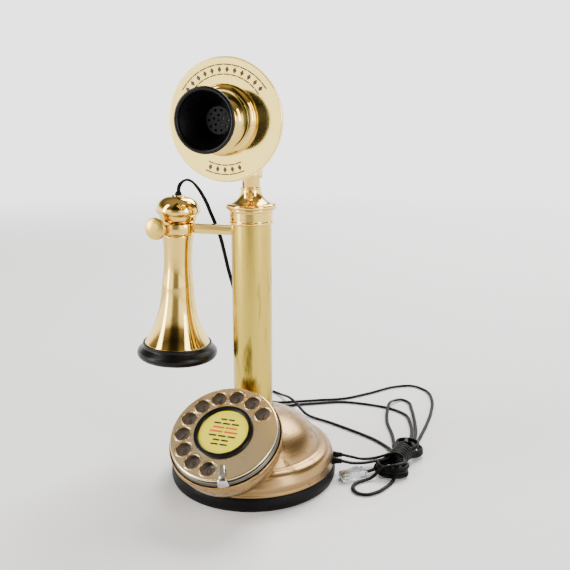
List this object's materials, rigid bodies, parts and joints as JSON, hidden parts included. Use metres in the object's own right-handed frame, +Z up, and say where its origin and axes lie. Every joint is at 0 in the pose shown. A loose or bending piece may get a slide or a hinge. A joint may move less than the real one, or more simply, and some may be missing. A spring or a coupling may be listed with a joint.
{
  "type": "rotary telephone",
  "caption": "Brass candlestick rotary telephone: round weighted foot with a sloping dial, column, tilting mouthpiece head, and a bell-shaped receiver in a fork hook.",
  "frame": {"origin": "centre of the round foot, on the surface the telephone stands on", "axes": "+Z up; the dial and mouthpiece face -Y; the receiver hangs at -X"},
  "size_m": [0.2315, 0.3347, 0.3277],
  "materials": {
    "polished_brass": "polished, lacquered",
    "satin_brass": "drawn tube, satin, slightly tarnished",
    "bright_brass": "buffed bright",
    "dial_brass": "satin lacquered",
    "gear_brass": "machined",
    "black_plastic": "moulded, gloss",
    "foot_rubber": "moulded, satin",
    "felt": "pressed felt",
    "zinc_steel": "zinc plated",
    "spring_steel": "blued spring steel",
    "cast_iron": "as cast, painted",
    "circuit_green": "solder mask on glass fibre",
    "terminal_plastic": "moulded",
    "insulator_brown": "laminated fibre",
    "case_nickel": "nickel plated, satin",
    "number_enamel": "enamelled, grey",
    "card_yellow": "printed card",
    "clear_plastic": "clear acrylic",
    "cam_nylon": "moulded nylon",
    "cord_black": "flat twin lead, satin PVC",
    "plug_clear": "clear polycarbonate"
  },
  "bodies": {
    "stand": {"base_shell": "polished_brass", "foot_ring": "foot_rubber", "bottom_plate": "zinc_steel", "felt_pad": "felt", "bottom_screws": "zinc_steel", "ballast": "cast_iron", "circuit_board": "circuit_green", "board_posts": "zinc_steel", "ringer": "black_plastic", "terminal_block": "terminal_plastic", "column_tube": "satin_brass", "column_nut": "gear_brass", "column_collar": "polished_brass", "column_cap": "polished_brass", "stem_clevis": "polished_brass", "tilt_bolt": "polished_brass", "tilt_nut": "polished_brass", "dial_cup": "polished_brass", "dial_frame": "case_nickel", "number_plate": "number_enamel", "finger_stop": "case_nickel", "dial_screws": "zinc_steel", "mechanism_plate": "zinc_steel", "mechanism_posts": "zinc_steel", "main_spring": "spring_steel", "pulse_contacts": "gear_brass", "governor_cup": "gear_brass", "hook_frame": "zinc_steel", "hook_pin": "zinc_steel", "contact_springs": "gear_brass", "spring_insulators": "insulator_brown", "hook_spring": "spring_steel", "cord_glands": "foot_rubber", "receiver_cord": "cord_black", "line_cord": "cord_black", "cord_hank": "cord_black", "line_plug": "plug_clear"},
    "finger_wheel": {"finger_wheel": "dial_brass", "card_ring": "black_plastic", "number_card": "card_yellow", "card_window": "clear_plastic", "dial_shaft": "zinc_steel", "main_gear": "gear_brass", "impulse_cam": "cam_nylon"},
    "dial_pinion": {"pinion": "gear_brass"},
    "dial_governor": {"governor": "zinc_steel"},
    "hook": {"hook_lever": "polished_brass", "hook_knobs": "bright_brass"},
    "receiver": {"receiver_horn": "polished_brass", "receiver_cap": "polished_brass", "ear_ring": "black_plastic", "receiver_capsule": "zinc_steel", "receiver_bush": "foot_rubber", "receiver_cord_top": "cord_black"},
    "transmitter": {"transmitter_cup": "polished_brass", "face_plate": "bright_brass", "transmitter_dome": "polished_brass", "mouthpiece": "black_plastic", "carbon_capsule": "zinc_steel", "cup_screws": "zinc_steel"}
  },
  "joints": [
    {"name": "dial_spin", "type": "hinge", "parent": "stand", "child": "finger_wheel", "pos_m": [0, -0.062, 0.0613], "axis": [0, -0.5329, 0.8462], "range_deg": [-325, 0], "stiffness_Nm_per_rad": 0.012, "springref_deg": 68.75},
    {"name": "pinion_spin", "type": "hinge", "parent": "stand", "child": "dial_pinion", "pos_m": [-0.02344, -0.062, 0.0613], "axis": [0, -0.5329, 0.8462], "range_deg": [-5, 1310]},
    {"name": "governor_spin", "type": "hinge", "parent": "stand", "child": "dial_governor", "pos_m": [-0.01584, -0.05417, 0.04886], "axis": [0, 0.8462, 0.5329], "range_deg": [-25, 6525]},
    {"name": "receiver_lift", "type": "slide", "parent": "stand", "child": "receiver", "axis": [-0.9962, 0, 0.0872], "range_m": [0, 0.09]},
    {"name": "hook_lift", "type": "hinge", "parent": "stand", "child": "hook", "pos_m": [0.003, 0, 0.202], "axis": [0, 1, 0], "range_deg": [-0.1, 4.1], "deforming": ["hook_spring"]},
    {"name": "head_tilt", "type": "hinge", "parent": "stand", "child": "transmitter", "pos_m": [0, 0, 0.256], "axis": [1, 0, 0], "range_deg": [-15, 20]}
  ],
  "couplings": [
    {"joint": "pinion_spin", "follows": "dial_spin", "ratio": -4},
    {"joint": "governor_spin", "follows": "dial_spin", "ratio": -20},
    {"joint": "hook_lift", "follows": "receiver_lift", "rad_per_m": 0.7757}
  ]
}
